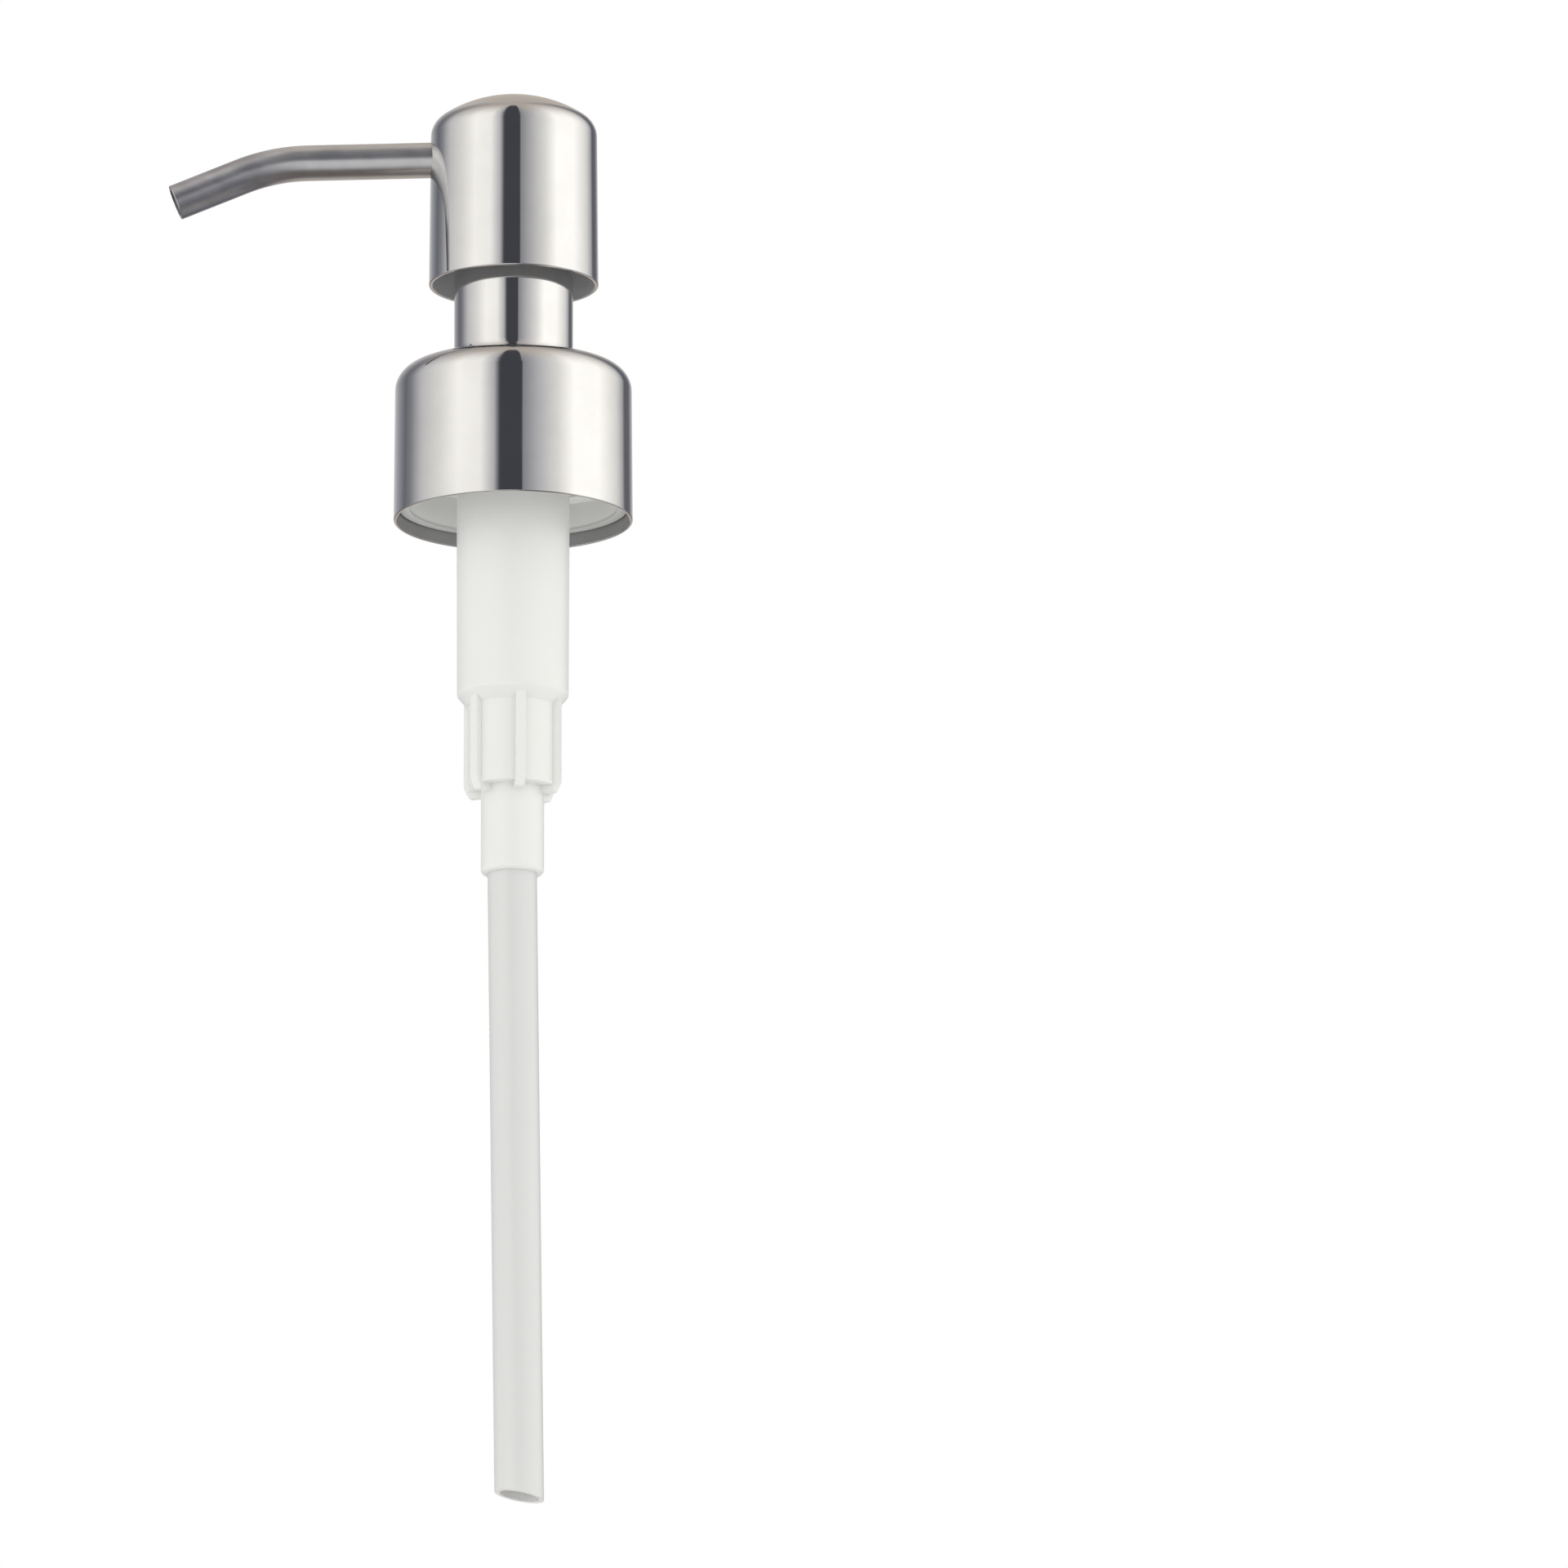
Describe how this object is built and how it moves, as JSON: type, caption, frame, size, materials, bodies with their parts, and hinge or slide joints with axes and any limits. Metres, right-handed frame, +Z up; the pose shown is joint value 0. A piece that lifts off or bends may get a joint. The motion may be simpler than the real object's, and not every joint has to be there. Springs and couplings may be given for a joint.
{
  "type": "bottle pump dispenser",
  "caption": "Press-down pump dispenser for a threaded bottle neck, with a polished steel head and collar, a bent spout, a spring piston and a dip tube.",
  "frame": {"origin": "centre of the neck gasket's underside, which is the plane of the bottle's lip", "axes": "+Z up along the pump axis towards the head, -X along the spout, +Y away from a viewer who has the spout on the left"},
  "size_m": [0.0624, 0.032, 0.1934],
  "materials": {
    "polished_steel": "mirror polished stainless steel",
    "pump_plastic": "satin moulded white polypropylene",
    "closure_plastic": "satin moulded natural polypropylene",
    "seal_plastic": "soft polyethylene",
    "gasket_foam": "foamed polyethylene liner",
    "tube_plastic": "translucent extruded polyethylene",
    "spring_steel": "drawn wire",
    "ball_steel": "ground steel ball"
  },
  "bodies": {
    "root": {"housing": "pump_plastic", "dip_tube": "tube_plastic", "neck_gasket": "gasket_foam", "chaplet": "pump_plastic", "stem_seal": "seal_plastic", "neck_sleeve": "polished_steel", "ball_cage": "pump_plastic", "return_spring": "spring_steel"},
    "closure": {"closure_insert": "closure_plastic", "collar_shell": "polished_steel"},
    "slider": {"piston": "seal_plastic"},
    "plunger": {"stem": "pump_plastic", "piston_rod": "pump_plastic", "head_insert": "closure_plastic", "head_shell": "polished_steel", "spout_tube": "polished_steel"},
    "inlet_valve": {"inlet_ball": "ball_steel"},
    "outlet_valve": {"outlet_ball": "ball_steel"}
  },
  "joints": [
    {"name": "closure_spin", "type": "hinge", "parent": "root", "child": "closure", "pos_m": [0, 0, 0], "axis": [0, 0, 1], "continuous": true},
    {"name": "press", "type": "slide", "parent": "root", "child": "slider", "axis": [0, 0, -1], "range_m": [0, 0.008], "stiffness_N_per_m": 500, "springref_m": -0.016, "deforming": ["return_spring"]},
    {"name": "swivel", "type": "hinge", "parent": "slider", "child": "plunger", "pos_m": [0, 0, 0], "axis": [0, 0, 1], "continuous": true},
    {"name": "inlet_ball_lift", "type": "slide", "parent": "root", "child": "inlet_valve", "axis": [0, 0, 1], "range_m": [0, 0.0016]},
    {"name": "outlet_ball_lift", "type": "slide", "parent": "plunger", "child": "outlet_valve", "axis": [0, 0, 1], "range_m": [0, 0.0018]}
  ]
}
